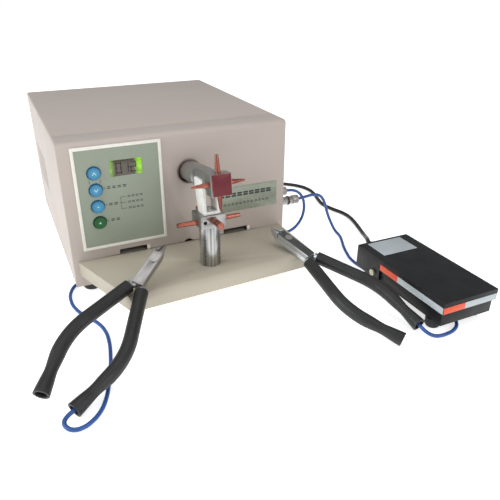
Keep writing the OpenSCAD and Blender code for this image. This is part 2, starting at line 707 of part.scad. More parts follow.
// One bar to the column through the wire hole, one to the arm's bracket
module busbars() color("chocolate") {
    low = tray_z - tray_sheet - bar_t;
    difference() {
        union() {
            block([arm_x - 4 - bar_w / 2, column_y - 9, low], [arm_x - 4 + bar_w / 2, 92, low + bar_t]);
            block([arm_x - 9, column_y - 9, low], [arm_x + 9, column_y + 9, low + bar_t]);
            block([arm_x - 4 - bar_w / 2, 92 - bar_t, low], [arm_x - 4 + bar_w / 2, 92, low + 24]);
        }
        bar_z([arm_x, column_y, low - cut], stud_d + 0.2, bar_t + 2 * cut);
    }
    block([arm_x - 6, front_y + bracket_deep, stop_z - bridge_t],
        [arm_x + 14, front_y + bracket_deep + bar_t, stop_z + 12]);
    block([arm_x + 2, front_y + bracket_deep, stop_z - bridge_t - bar_t],
        [arm_x + 12, 92, stop_z - bridge_t]);
    block([arm_x + 2, 92 - bar_t, base_z + 60], [arm_x + 12, 92, stop_z - bridge_t]);
}

module transformer_core() color("dimgray") translate([arm_x, 105, base_z + sheet]) difference() {
    union() {
        block([-42, 0, 4], [42, 44, 74]);
        for (x = [-52, 42]) block([x, 4, 0], [x + 10, 40, 4]);
        for (s = [-1, 1]) block([min(s * 36, s * 44), 4, 0], [max(s * 36, s * 44), 40, 5]);
    }
    for (s = [-1, 1]) block([min(s * 14, s * 28), -cut, 18], [max(s * 14, s * 28), 44 + cut, 60]);
}

module transformer_coils() color("sienna") translate([arm_x, 105, base_z + sheet]) difference() {
    block([-27, -13, 19], [27, 57, 59]);
    block([-14.3, -0.3, 18], [14.3, 44.3, 60]);
    for (s = [-1, 1]) block([min(s * 27.8, s * 40), -0.3, 10], [max(s * 27.8, s * 40), 44.3, 70]);
}

// ---------- back and right side ----------

module mains_inlet() color("black") {
    difference() {
        union() {
            block([inlet_x - 10, rear_y, inlet_z - 4], [inlet_x + 38, rear_y + 3, inlet_z + 24]);
            block([inlet_x + 0.2, rear_y - 24, inlet_z + 0.2], [inlet_x + 27.8, rear_y, inlet_z + 19.8]);
        }
        block([inlet_x + 2, rear_y - 16, inlet_z + 2], [inlet_x + 26, rear_y + 4, inlet_z + 18]);
    }
    for (p = [[6, 6], [22, 6], [14, 12]])
        block([inlet_x + p[0] - 1, rear_y - 17, inlet_z + p[1] - 2], [inlet_x + p[0] + 1, rear_y - 4, inlet_z + p[1] + 2]);
}

module fuse_holder() color("black") {
    bar_y([fuse_x, rear_y - 30, rear_row_z], 11.8, 30);
    bar_y([fuse_x, rear_y, rear_row_z], 16, 3);
    bar_y([fuse_x, rear_y + 3, rear_row_z], 12, 7);
}

module switch_frame() color("black") difference() {
    union() {
        block([switch_x - 1.5, rear_y, rear_row_z - 11.5], [switch_x + 14.5, rear_y + 2, rear_row_z + 11.5]);
        block([switch_x + 0.1, rear_y - 16, rear_row_z - 9.9], [switch_x + 12.9, rear_y, rear_row_z + 9.9]);
    }
    block([switch_x + 1.5, rear_y - 8.6, rear_row_z - 9], [switch_x + 11.5, rear_y + 3, rear_row_z + 9]);
    bar_x([switch_x - 1, rear_y - 3.2, rear_row_z], 2 + 2 * run_gap, 15);
}

// The rocker turns on its pin between the switch frame's walls; its off end stands out at rest
module power_rocker() color("red") translate([switch_x + 6.5, rear_y, rear_row_z]) {
    along_x(-4.7, 4.7) polygon([[-5, -4], [-5, 4], [1.6, 7], [2.2, 0], [3.9, -7]]);
    bar_x([-5.8, -3.2, 0], 2, 11.6);
}

module post_bodies() color("silver") for (y = post_y) {
    bar_x([right_x, y, post_z], 13, 3);
    bar_x([right_x + 3, y, post_z], 9.4, post_out - post_cap_len - 3);
    bar_x([right_x - sheet - 12, y, post_z], 6, 12 + sheet);
    translate([right_x - sheet - 4, y, post_z]) rotate([0, 90, 0]) cylinder(d = 12, h = 4, $fn = 6);
}

module post_caps() color("darkred") for (y = post_y) difference() {
    bar_x([right_x + post_out - post_cap_len, y, post_z], 10.4, post_cap_len);
    bar_x([right_x + post_out - post_cap_len + 2, y, post_z], lead_d + 0.4, post_cap_len);
}

module cord_glands() color("black") {
    translate([gland_x, rear_y, gland_z]) gland(sheet);
    translate([pedal_gland_x, pedal_rear - lid_wall - pedal_rear_gap, pedal_gland_z]) gland(base_wall);
}

// ---------- cords ----------

module right_lead() color("royalblue") tube(right_route, lead_d / 2, 8);
module left_lead() color("royalblue") tube(left_route, lead_d / 2, 8);
module pedal_cord() color("black") tube(pedal_route, cord_d / 2, 8);

// ---------- pliers ----------

// Frame of a pair of pliers: jaw tip at the origin, grips towards -X, flat in X and Y
module lying(lie) translate([lie[0], lie[1], lie_end_z]) rotate([tilt_of(lie), 0, 0]) rotate([0, 0, lie[2]])
    rotate([lie[4], 0, 0]) translate([plier_len, -lie[3] * grip_half_gap, 0]) children();

// A round run along the grip's centre line between two distances from the tip.
// The bend is a hair fatter, and the straight runs reach a little way into it.
module grip_run(from, to, d) {
    run_out = grip_vertex[0] + bend_len * cos(grip_out);
    run_in = grip_vertex[0] - bend_len * cos(grip_in);
    translate([-from, on_run_out(-from), 0]) rotate([0, -90, -grip_out])
        cylinder(d = d, h = (-from - run_out) / cos(grip_out) + bend_lap);
    translate([bend_centre[0], bend_centre[1], 0]) rotate([0, 0, 90 - grip_out])
        rotate_extrude(angle = grip_out + grip_in) translate([grip_r, 0]) circle(d = d + 0.1);
    translate([run_in + bend_lap * cos(grip_in), on_run_in(run_in) + bend_lap * sin(grip_in), 0])
        rotate([0, -90, grip_in]) cylinder(d = d, h = (run_in + to) / cos(grip_in) + bend_lap);
}

// The half with its grip on the +Y side and its jaw on the -Y side, in the upper layer
module jaw_half(bore) difference() {
    union() {
        block([-head_end, -head_side / 2, layer_gap], [-jaw_root - swing_gap, head_side / 2, head_side / 2]);
        block([-jaw_root - swing_gap - cut, -head_side / 2, layer_gap], [-jaw_root, -0.2, head_side / 2]);
        block([0.3 - grip_from, 0.8, layer_gap], [-head_end + cut, head_side / 2 + 4, core_d / 2 - 0.6]);
        intersection() {
            translate([0, 0, -head_side / 2]) linear_extrude(head_side)
                polygon([[-jaw_root, -1.4], [-jaw_root, -head_side / 2 + 0.3], [0, -1.1], [0, -0.15]]);
            translate([0, 0, 0]) rotate([90, 0, 0]) linear_extrude(head_side)
                polygon([[-jaw_root, -head_side / 2], [-jaw_root, head_side / 2], [0, 1.2], [0, -1.2]]);
        }
        grip_run(core_from, plier_len - core_short, core_d);
    }
    bar_z([-rivet_at, 0, -head_side], bore, 2 * head_side);
}

module grip_half() difference() {
    grip_run(grip_from, plier_len, grip_d);
    grip_run(grip_from - 1, plier_len + 1, grip_bore);
}

module rivet() {
    bar_z([-rivet_at, 0, -head_side / 2], rivet_d, head_side + layer_gap);
    bar_z([-rivet_at, 0, -head_side / 2 - 0.6], rivet_d + 1.6, 0.6);
    bar_z([-rivet_at, 0, head_side / 2 + layer_gap], rivet_d + 1.6, 0.6);
}

// The half that holds its lead lies still; the other one opens. The lead goes into the
// left pair's low grip and the right pair's high grip.
module left_jaw_fixed() color("lightgray") lying(left_lie) rotate([180, 0, 0]) jaw_half(rivet_d);
module left_jaw_moving() color("lightgray") lying(left_lie) jaw_half(rivet_d + 2 * run_gap);
module left_grip_fixed() color("darkslategray") lying(left_lie) rotate([180, 0, 0]) grip_half();
module left_grip_moving() color("darkslategray") lying(left_lie) grip_half();
module right_jaw_fixed() color("lightgray") lying(right_lie) rotate([180, 0, 0]) jaw_half(rivet_d);
module right_jaw_moving() color("lightgray") lying(right_lie) jaw_half(rivet_d + 2 * run_gap);
module right_grip_fixed() color("darkslategray") lying(right_lie) rotate([180, 0, 0]) grip_half();
module right_grip_moving() color("darkslategray") lying(right_lie) grip_half();
module plier_rivets() color("silver") {
    lying(left_lie) rivet();
    lying(right_lie) rivet();
}

// ---------- foot switch ----------

module pedal_base() color("black") difference() {
    union() {
        block([pedal_x - base_half, pedal_front + lid_wall + pedal_gap, base_low],
            [pedal_x + base_half, pedal_rear - lid_wall - pedal_rear_gap, base_high]);
        block([pedal_x - base_half, pedal_rear - lid_wall - pedal_rear_gap - base_wall, base_low],
            [pedal_x + base_half, pedal_rear - lid_wall - pedal_rear_gap, pedal_h - pedal_top_t - slip_gap]);
    }
    difference() {
        block([pedal_x - base_half + base_wall, pedal_front + lid_wall + pedal_gap + base_wall, base_low + base_wall],
            [pedal_x + base_half - base_wall, pedal_rear - lid_wall - pedal_rear_gap - base_wall, pedal_h]);
        for (s = [-1, 1]) bar_x([pedal_x + s * (base_half - 3) - 3, pedal_pivot_y, pedal_pivot_z], 9, 6);
    }
    bar_x([pedal_x - pedal_w, pedal_pivot_y, pedal_pivot_z], pedal_pin_d, 2 * pedal_w);
    bar_y([pedal_gland_x, pedal_rear - 10, pedal_gland_z], 8.2, 20);
}

module pedal_lid() color("black") difference() {
    union() {
        block([pedal_x - pedal_w / 2, pedal_front, skirt_low], [pedal_x + pedal_w / 2, pedal_rear, pedal_h]);
        for (x = [pedal_x - pedal_w / 2, pedal_x + pedal_w / 2 - lid_wall])
            block([x, ear_from, ear_low], [x + lid_wall, pedal_rear, pedal_h]);
    }
    block([pedal_x - pedal_w / 2 + lid_wall, pedal_front + lid_wall, ear_low - cut],
        [pedal_x + pedal_w / 2 - lid_wall, pedal_rear - lid_wall, pedal_h - pedal_top_t]);
    bar_x([pedal_x - pedal_w, pedal_pivot_y, pedal_pivot_z], pedal_pin_d + 2 * run_gap, 2 * pedal_w);
    block([pedal_gland_x - 7.5, pedal_rear - 2 * lid_wall, skirt_low - cut],
        [pedal_gland_x + 7.5, pedal_rear + cut, pedal_gland_z + 7]);
}

module pedal_pivots() color("silver") for (s = [-1, 1]) {
    bar_x([pedal_x + s * (pedal_w / 2 + 1.1) - 1, pedal_pivot_y, pedal_pivot_z], 7, 2);
    bar_x([pedal_x + s * (pedal_w / 2 - 4.5) - 5, pedal_pivot_y, pedal_pivot_z], pedal_pin_d, 10);
}

module pedal_spring() color("gray")
    translate([pedal_x, pedal_spring_y, base_low + base_wall])
        coil_spring(14, 1.4, pedal_h - pedal_top_t - base_low - base_wall - 0.3, 6);

module pedal_switch() color("dimgray") translate([pedal_x, pedal_front + 78, base_low + base_wall]) {
    block([-14, -5, 0], [14, 5, 15]);
    block([-6, -2, 15], [-2, 2, 17]);
}

module pedal_feet() color("dimgray") for (s = [-1, 1], y = [pedal_front + 18, pedal_rear - 18])
    translate([pedal_x + s * (base_half - 6), y, 0]) {
        cylinder(d1 = pedal_foot_d - 3, d2 = pedal_foot_d, h = 2.5);
        translate([0, 0, 2.5]) cylinder(d = pedal_foot_d, h = pedal_foot_h - 2.5);
    }

base_pan();
top_cover();
front_panel();
rear_panel();
cabinet_feet();
case_screws();
panel_frame();
panel_overlay();
display_module();
display_lens();
button_1();
button_2();
button_3();
button_4();
circuit_boards();
nameplate();
arm_bush();
arm_bracket();
arm_pin();
upper_arm();
arm_screw();
arm_spring();
turret_block();
turret_face();
upper_electrodes();
column();
lower_block();
lower_electrodes();
guide_fork();
column_fasteners();
tray();
busbars();
transformer_core();
transformer_coils();
mains_inlet();
fuse_holder();
switch_frame();
power_rocker();
post_bodies();
post_caps();
cord_glands();
right_lead();
left_lead();
pedal_cord();
left_jaw_fixed();
left_jaw_moving();
left_grip_fixed();
left_grip_moving();
right_jaw_fixed();
right_jaw_moving();
right_grip_fixed();
right_grip_moving();
plier_rivets();
pedal_base();
pedal_lid();
pedal_pivots();
pedal_spring();
pedal_switch();
pedal_feet();
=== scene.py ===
"""Looks of the bench spot welder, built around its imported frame.

Metres. X runs to the right, Y to the back and Z up, from under the front-left foot.
"""
import json
import math

import bpy
from mathutils import Matrix, Vector

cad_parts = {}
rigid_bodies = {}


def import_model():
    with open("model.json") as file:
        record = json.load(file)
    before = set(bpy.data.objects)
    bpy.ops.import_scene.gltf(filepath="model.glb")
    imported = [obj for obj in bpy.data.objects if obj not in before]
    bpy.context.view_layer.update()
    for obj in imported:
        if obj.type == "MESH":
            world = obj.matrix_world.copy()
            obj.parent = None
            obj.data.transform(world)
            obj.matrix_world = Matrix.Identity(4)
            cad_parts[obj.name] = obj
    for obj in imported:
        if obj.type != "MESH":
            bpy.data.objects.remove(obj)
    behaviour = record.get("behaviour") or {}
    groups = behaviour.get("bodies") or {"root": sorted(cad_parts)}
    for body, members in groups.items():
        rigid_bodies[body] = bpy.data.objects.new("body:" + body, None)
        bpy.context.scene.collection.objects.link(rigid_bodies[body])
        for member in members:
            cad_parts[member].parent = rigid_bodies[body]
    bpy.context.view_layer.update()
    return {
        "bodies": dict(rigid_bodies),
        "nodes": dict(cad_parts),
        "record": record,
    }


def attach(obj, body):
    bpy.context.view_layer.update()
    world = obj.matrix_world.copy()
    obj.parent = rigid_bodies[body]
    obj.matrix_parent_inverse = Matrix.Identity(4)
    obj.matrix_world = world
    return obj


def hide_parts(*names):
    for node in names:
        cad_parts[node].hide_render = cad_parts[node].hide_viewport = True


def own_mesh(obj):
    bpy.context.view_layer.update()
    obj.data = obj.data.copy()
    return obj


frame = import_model()
NODES = frame["nodes"]
SLOT_OF = {s["node"]: s["material_slot"] for s in frame["record"]["subparts"]}
JOINTS = {j["name"]: j for j in frame["record"]["behaviour"]["joints"]}
MM = 0.001


def mm(*v):
    """A point given in millimetres."""
    return Vector(v) * MM


# ---------- camera ----------

CAMERA_PLACE = mm(-62.24, -528.84, 303.11)
CAMERA_TURN, CAMERA_DIP, CAMERA_ROLL = (math.radians(a) for a in (25.368, 27.133, 0.345))
CAMERA_LENS, CAMERA_SENSOR = 38.933, 36


def set_camera():
    """One camera at the viewing angle."""
    data = bpy.data.cameras.new("camera")
    data.lens, data.sensor_width = CAMERA_LENS, CAMERA_SENSOR
    data.clip_start, data.clip_end = 0.01, 20
    camera = bpy.data.objects.new("camera", data)
    bpy.context.scene.collection.objects.link(camera)
    camera.matrix_world = (
        Matrix.Translation(CAMERA_PLACE)
        @ Matrix.Rotation(-CAMERA_TURN, 4, "Z")
        @ Matrix.Rotation(math.pi / 2 - CAMERA_DIP, 4, "X")
        @ Matrix.Rotation(CAMERA_ROLL, 4, "Z")
    )
    bpy.context.scene.camera = camera


set_camera()


# ---------- making and shaping ----------

FACES_ALONG = 0.99  # a face looks along a direction when its normal is this near to it
SMOOTH_UNDER = math.radians(38)
MERGE_WITHIN = 0.002 * MM
FLAT_WITHIN = math.radians(0.4)
FLAT_SIDE_ALONG = 0.97

# How near two points, or a point and a plane, count as the same
SAME_POINT, SAME_PLANE = 0.01 * MM, 0.05 * MM

# The sleeves' ends. Distances in millimetres in from the open end, amounts as shares of the radius.
SLEEVE_RINGS = (4, 8, 12, 16, 20, 24, 28, 33, 39)
SLEEVE_REACH, SLEEVE_WITHIN = 45, 9.5
WAIST, WAIST_AT, WAIST_RUN = 0.18, 21, 9
LIP, LIP_RUN = 0.08, 9


def alone(piece):
    """Selects one piece and nothing else."""
    bpy.ops.object.select_all(action="DESELECT")
    piece.select_set(True)
    bpy.context.view_layer.objects.active = piece


def named(name):
    """The piece just added, with its name, its place moved into its mesh."""
    piece = bpy.context.active_object
    piece.name = piece.data.name = name
    alone(piece)
    bpy.ops.object.transform_apply(location=True, rotation=True, scale=True)
    return piece


def modify(piece, kind, **settings):
    """Adds one modifier and applies it."""
    alone(piece)
    m = piece.modifiers.new(kind.lower(), kind)
    for key, value in settings.items():
        setattr(m, key, value)
    bpy.ops.object.modifier_apply(modifier=m.name)


def soften(piece, width, segments=2, angle=32, edge_slot=-1):
    """Breaks the sharp edges and shades the rest smooth."""
    if width:
        modify(
            piece,
            "BEVEL",
            width=width * MM,
            segments=segments,
            limit_method="ANGLE",
            angle_limit=math.radians(angle),
            use_clamp_overlap=True,
            material=edge_slot,
        )
    alone(piece)
    bpy.ops.object.shade_smooth_by_angle(angle=SMOOTH_UNDER)


def slab(name, low, high):
    """A block between two corners, in millimetres."""
    low, high = mm(*low), mm(*high)
    bpy.ops.object.select_all(action="DESELECT")
    bpy.ops.mesh.primitive_cube_add(size=1, location=(low + high) / 2, scale=high - low)
    return named(name)


def round_bar(name, start, end, radius, far_radius=None, sides=48):
    """A round or tapered bar between two points, in millimetres."""
    start, end = mm(*start), mm(*end)
    turn = (end - start).to_track_quat("Z", "Y").to_euler()
    bpy.ops.object.select_all(action="DESELECT")
    bpy.ops.mesh.primitive_cone_add(
        vertices=sides,
        radius1=radius * MM,
        radius2=(radius if far_radius is None else far_radius) * MM,
        depth=(end - start).length,
        location=(start + end) / 2,
        rotation=turn,
    )
    return named(name)


def one_piece(name, pieces):
    """Joins several meshes into one piece."""
    bpy.ops.object.select_all(action="DESELECT")
    for p in pieces:
        p.select_set(True)
    bpy.context.view_layer.objects.active = pieces[0]
    bpy.ops.object.join()
    piece = bpy.context.active_object
    piece.name = piece.data.name = name
    return piece


def press_face(piece, normal, margin, depth=0.0):
    """Insets the faces that look along normal, then pushes them in by a depth, if any."""
    normal = Vector(normal).normalized()
    alone(piece)
    bpy.ops.object.mode_set(mode="EDIT")
    bpy.ops.mesh.select_mode(type="FACE")
    bpy.ops.mesh.select_all(action="DESELECT")
    bpy.ops.object.mode_set(mode="OBJECT")
    for polygon in piece.data.polygons:
        polygon.select = polygon.normal.dot(normal) > FACES_ALONG
    bpy.ops.object.mode_set(mode="EDIT")
    bpy.ops.mesh.inset(thickness=margin * MM, depth=0)
    bpy.ops.transform.translate(value=-normal * depth * MM)
    bpy.ops.object.mode_set(mode="OBJECT")


def wear(piece, *finishes):
    """Gives the piece its finishes, the first on its faces and the second on its edges."""
    piece.data.materials.clear()
    for f in finishes:
        piece.data.materials.append(f)


def fit(piece, body, *finishes, slot=None, stands_for=()):
    """Puts a finished piece on its body."""
    if finishes:
        wear(piece, *finishes)
    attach(piece, body)
    if stands_for:
        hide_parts(*stands_for)
    return piece


def trued(node, name):
    """A merged copy of a frame node with its flat faces whole."""
    piece = NODES[node].copy()
    piece.data = NODES[node].data.copy()
    piece.name = piece.data.name = name
    bpy.context.scene.collection.objects.link(piece)
    piece.parent = None
    piece.matrix_world = Matrix.Identity(4)
    for key in list(piece.keys()):
        del piece[key]
    alone(piece)
    bpy.ops.mesh.customdata_custom_splitnormals_clear()
    bpy.ops.object.mode_set(mode="EDIT")
    bpy.ops.mesh.select_all(action="SELECT")
    bpy.ops.mesh.remove_doubles(threshold=MERGE_WITHIN)
    bpy.ops.mesh.dissolve_limited(angle_limit=FLAT_WITHIN)
    bpy.ops.object.mode_set(mode="OBJECT")
    return piece


def body_of(node):
    """The name of the body that a frame node moves with."""
    return next(b for b, e in frame["bodies"].items() if NODES[node].parent == e)


def refine(node, edge, *finishes, segments=2, angle=32):
    """Replaces a frame node by its trued copy with broken edges."""
    piece = trued(node, node + "_finished")
    wear(piece, *finishes)
    soften(piece, edge, segments, angle, 1 if len(finishes) > 1 else -1)
    return fit(piece, body_of(node), stands_for=(node,))


def flat_sides(piece, normal, finish):
    """Gives the faces that look along the normal their own finish, here the painted shade on the
    right jaws' flat tops.
    """
    piece.data.materials.append(finish)
    for polygon in piece.data.polygons:
        if polygon.normal.dot(normal) > FLAT_SIDE_ALONG:
            polygon.material_index = len(piece.data.materials) - 1


def open_end(grip, pivot):
    """The middle of a sleeve's open end and the direction into it, off the frame's mesh."""
    mesh = NODES[grip].data
    tip = max((v.co for v in mesh.vertices), key=lambda p: (p - pivot).length).copy()
    outward = (tip - pivot).normalized()
    at_tip = [
        f.normal.copy() for f in mesh.polygons
        if any((mesh.vertices[i].co - tip).length < SAME_POINT for i in f.vertices)
    ]
    inward = -max(at_tip, key=outward.dot)
    rim = [v.co for v in mesh.vertices if abs((v.co - tip).dot(inward)) < SAME_PLANE]
    middle = Vector([(min(c) + max(c)) / 2 for c in zip(*rim)])
    return middle, inward


def flare(piece, end, inward):
    """Draws a sleeve in a little before its open end and widens the end itself."""
    alone(piece)
    bpy.ops.object.mode_set(mode="EDIT")
    for along in SLEEVE_RINGS:
        bpy.ops.mesh.select_all(action="SELECT")
        bpy.ops.mesh.bisect(plane_co=end + inward * along * MM, plane_no=inward)
    bpy.ops.object.mode_set(mode="OBJECT")
    for v in piece.data.vertices:
        along = (v.co - end).dot(inward) / MM
        off = v.co - end - inward * along * MM
        if along > SLEEVE_REACH or off.length > SLEEVE_WITHIN * MM:
            continue
        waist = WAIST * math.exp(-(((along - WAIST_AT) / WAIST_RUN) ** 2))
        lip = LIP * max(0.0, 1 - max(along, 0.0) / LIP_RUN)
        v.co += off * (lip - waist)


# ---------- finishes ----------


class Finish:
    """One material's nodes, all on Object coordinates."""

    def __init__(self, name):
        self.material = bpy.data.materials.new(name)
        self.material.use_nodes = True
        self.tree = self.material.node_tree
        self.tree.nodes.clear()
        self.shader = self.node("BsdfPrincipled")
        out = self.node("OutputMaterial")
        self.link(self.shader.outputs[0], out.inputs[0])
        self.place = self.node("TexCoord").outputs["Object"]

    def node(self, kind, **inputs):
        n = self.tree.nodes.new("ShaderNode" + kind)
        for key, value in inputs.items():
            n.inputs[key.replace("_", " ")].default_value = value
        return n

    def link(self, a, b):
        self.tree.links.new(a, b)

    def stretched(self, stretch, centre=(0, 0, 0), turn=(0, 0, 0)):
        m = self.node("Mapping", Scale=stretch, Rotation=turn)
        m.inputs["Location"].default_value = [-c * MM * s for c, s in zip(centre, stretch)]
        self.link(self.place, m.inputs["Vector"])
        return m.outputs[0]

    def noise(self, scale, detail=3.0, rough=0.55, stretch=(1, 1, 1), turn=(0, 0, 0)):
        n = self.node("TexNoise", Scale=scale, Detail=detail, Roughness=rough)
        plain = tuple(stretch) == (1, 1, 1) and tuple(turn) == (0, 0, 0)
        self.link(self.place if plain else self.stretched(stretch, turn=turn), n.inputs["Vector"])
        return n.outputs["Fac"]

    def spread(self, value, low, high, from_low=0.3, from_high=0.7):
        m = self.node("MapRange", From_Min=from_low, From_Max=from_high, To_Min=low, To_Max=high)
        self.link(value, m.inputs["Value"])
        return m.outputs["Result"]

    def mixed(self, share, a, b):
        """Two colours, or a colour socket and a colour, mixed by a value."""
        m = self.tree.nodes.new("ShaderNodeMix")
        m.data_type = "RGBA"
        self.link(share, m.inputs["Factor"])
        colour_sockets = [s for s in m.inputs if s.type == "RGBA"]
        for socket, value in zip(colour_sockets, (a, b)):
            if isinstance(value, bpy.types.NodeSocket):
                self.link(value, socket)
            else:
                socket.default_value = (*value, 1)
        return next(s for s in m.outputs if s.type == "RGBA")

    def paint(self, socket):
        self.link(socket, self.shader.inputs["Base Color"])

    def roughen(self, value):
        self.link(value, self.shader.inputs["Roughness"])

    def emboss(self, height, distance, strength=1.0):
        """Adds a bump on top of any before it. Distance in millimetres."""
        b = self.node("Bump", Strength=strength, Distance=distance * MM)
        self.link(height, b.inputs["Height"])
        normal = self.shader.inputs["Normal"]
        if normal.is_linked:
            self.link(normal.links[0].from_socket, b.inputs["Normal"])
        self.link(b.outputs[0], normal)


def shade_of(colour, factor):
    return tuple(min(1.0, c * factor) for c in colour)


def plain(name, colour, rough=(0.4, 0.5), metallic=0.0, blotch=(20, 0.06), grain=(900, 0.02),
          dust=None, edge=None, turned=None, specular=0.5):
    """A finish with blotches in its colour, uneven gloss and a grain in its surface.

    blotch and grain are a scale and an amount; dust is a scale, where it starts, its share and
    its colour; edge is the colour that rubbing shows; turned is a stretch and a depth.
    """
    f = Finish(name)
    f.shader.inputs["Metallic"].default_value = metallic
    f.shader.inputs["Specular IOR Level"].default_value = specular
    cloud = f.noise(blotch[0], 4)
    darker, lighter = shade_of(colour, 1 - blotch[1]), shade_of(colour, 1 + blotch[1])
    colour_now = f.mixed(f.spread(cloud, 0, 1), darker, lighter)
    if dust:
        dust_scale, dust_from, dust_share, dust_colour = dust
        specks = f.noise(dust_scale, 2, 0.5)
        specks = f.spread(specks, 0, dust_share, dust_from, dust_from + 0.06)
        colour_now = f.mixed(specks, colour_now, dust_colour)
    if edge:
        rub = f.noise(160, 5, 0.7)
        colour_now = f.mixed(f.spread(rub, 0, 1, 0.42, 0.62), colour_now, edge)
    f.paint(colour_now)
    smear = f.noise(blotch[0] * 2.3, 5, 0.6)
    f.roughen(f.spread(smear, rough[0], rough[1]))
    if grain[1]:
        f.emboss(f.noise(grain[0], 2, 0.6), grain[1])
    if turned:
        f.emboss(f.noise(1, 2, 0.5, stretch=turned[0]), turned[1])
    return f.material


COAT = (0.474, 0.41, 0.366)
coat = plain("cabinet_coat", COAT, (0.46, 0.6), blotch=(7, 0.025), grain=(1100, 0.05))
coat_edge = plain("cabinet_coat_edge", shade_of(COAT, 1.05), (0.4, 0.55), blotch=(30, 0.04),
                  grain=(1100, 0.03), edge=shade_of(COAT, 0.86))
TRAY = (0.455, 0.41, 0.325)
tray_coat = plain("tray_coat", TRAY, (0.42, 0.58), blotch=(11, 0.045), grain=(1100, 0.05),
                  dust=(420, 0.66, 0.25, shade_of(TRAY, 0.7)))
tray_edge = plain("tray_coat_edge", shade_of(TRAY, 1.04), (0.4, 0.55), blotch=(30, 0.05),
                  grain=(900, 0.03), edge=shade_of(TRAY, 0.8))
zinc_sheet = plain("zinc_sheet", (0.5, 0.5, 0.49), (0.3, 0.5), 1.0, (60, 0.12), (700, 0.01))
zinc = plain("zinc_screw", (0.58, 0.58, 0.57), (0.25, 0.42), 1.0, (150, 0.1), (900, 0.01))
CHROME = (0.5, 0.5, 0.485)
chrome_arm = plain("turned_chrome_arm", shade_of(CHROME, 0.8), (0.3, 0.42), 1.0, (35, 0.08),
                   (500, 0.0), turned=((2, 1600, 2), 0.003))
chrome_block = plain("ground_chrome", shade_of(CHROME, 0.72), (0.3, 0.42), 1.0, (60, 0.1),
                     (500, 0.0), turned=((700, 12, 12), 0.003))
steel_head = plain("ground_steel", (0.4, 0.385, 0.375), (0.3, 0.42), 1.0, (70, 0.12), (800, 0.003),
                   turned=((60, 900, 60), 0.003))
# A dark copy of the ground steel for the jaws' broken edges: painted shade.
steel_edge_painted_shade = plain("ground_steel_edge_painted_shade", (0.15, 0.15, 0.152), (0.32, 0.45), 1.0, (90, 0.15),
                   (800, 0.004))
# Light and dark copies of the ground steel for the right jaws: painted highlight on their sides,
# painted shade on their flat tops.
steel_side_painted_highlight = plain("ground_steel_side_painted_highlight", (0.62, 0.64, 0.67), (0.32, 0.45), 0.9, (60, 0.08),
                     (800, 0.003))
steel_top_painted_shade = plain("ground_steel_top_painted_shade", (0.13, 0.132, 0.13), (0.3, 0.42), 0.9, (80, 0.2),
                  (800, 0.003))
ring_brown = plain("arm_ring_brown", (0.21, 0.15, 0.135), (0.4, 0.55), 0.2, (60, 0.12), (900, 0.01))
spring_steel = plain("spring_steel", (0.3, 0.3, 0.31), (0.3, 0.42), 1.0, (120, 0.1), (900, 0.006))
laminations = plain("transformer_sheets", (0.05, 0.05, 0.055), (0.4, 0.6), 0.3, (60, 0.2),
                    (900, 0.02), turned=((2, 2000, 2), 0.05))
winding = plain("varnished_winding", (0.3, 0.1, 0.03), (0.25, 0.4), 0.4, (40, 0.15), (700, 0.01),
                turned=((3, 3, 1100), 0.1))
rubber = plain("foot_rubber", (0.022, 0.022, 0.023), (0.6, 0.8), blotch=(60, 0.15),
               grain=(900, 0.05))
black_trim = plain("black_trim", (0.02, 0.02, 0.021), (0.35, 0.5), blotch=(60, 0.12),
                   grain=(1200, 0.02))
black_gloss = plain("black_moulding", (0.014, 0.014, 0.015), (0.18, 0.3), blotch=(60, 0.12),
                    grain=(1200, 0.01))
board = plain("circuit_board", (0.02, 0.13, 0.05), (0.25, 0.35), blotch=(120, 0.2),
              grain=(700, 0.02))
FRAME_CREAM = (0.82, 0.79, 0.72)
cream = plain("panel_frame_cream", FRAME_CREAM, (0.3, 0.42), blotch=(40, 0.03), grain=(900, 0.012),
              edge=shade_of(FRAME_CREAM, 0.93))
SAGE = (0.275, 0.31, 0.24)
sage = plain("panel_film_sage", SAGE, (0.32, 0.46), blotch=(28, 0.035), grain=(1500, 0.015),
             dust=(500, 0.68, 0.2, shade_of(SAGE, 0.75)))
PLATE = (0.29, 0.32, 0.25)
plate_film = plain("plate_film", PLATE, (0.22, 0.36), 0.25, (26, 0.06), (1200, 0.01))
print_ink = plain("print_ink", (0.022, 0.027, 0.026), (0.45, 0.6), blotch=(200, 0.2),
                  grain=(1200, 0.005))
fork_white = plain("fork_white", (0.8, 0.79, 0.75), (0.35, 0.5), blotch=(60, 0.03),
                   grain=(700, 0.02), edge=(0.72, 0.7, 0.65))
turret_red = plain("turret_red", (0.125, 0.011, 0.018), (0.3, 0.42), 0.35, (80, 0.1), (900, 0.012))
turret_red_edge = plain("turret_red_edge", (0.2, 0.03, 0.04), (0.25, 0.4), 0.6, (150, 0.15),
                        (900, 0.01), edge=(0.3, 0.2, 0.19))
post_red = plain("post_red", (0.1, 0.016, 0.014), (0.22, 0.34), blotch=(90, 0.1), grain=(900, 0.01))
post_grey = plain("post_grey", (0.34, 0.315, 0.29), (0.3, 0.45), 0.7, (90, 0.1), (900, 0.012))
rocker_red = plain("rocker_red", (0.42, 0.015, 0.012), (0.2, 0.3), blotch=(90, 0.08),
                   grain=(900, 0.005))
lead_blue = plain("lead_blue", (0.02, 0.082, 0.3), (0.32, 0.44), blotch=(70, 0.12),
                  grain=(700, 0.02))
cord_black = plain("cord_black", (0.014, 0.014, 0.016), (0.4, 0.55), blotch=(70, 0.12),
                   grain=(700, 0.03))
PEDAL = (0.0045, 0.0047, 0.005)
pedal_paint = plain("pedal_paint", PEDAL, (0.34, 0.5), blotch=(24, 0.2), grain=(1500, 0.03),
                    dust=(900, 0.7, 0.12, (0.05, 0.05, 0.05)), specular=0.3)
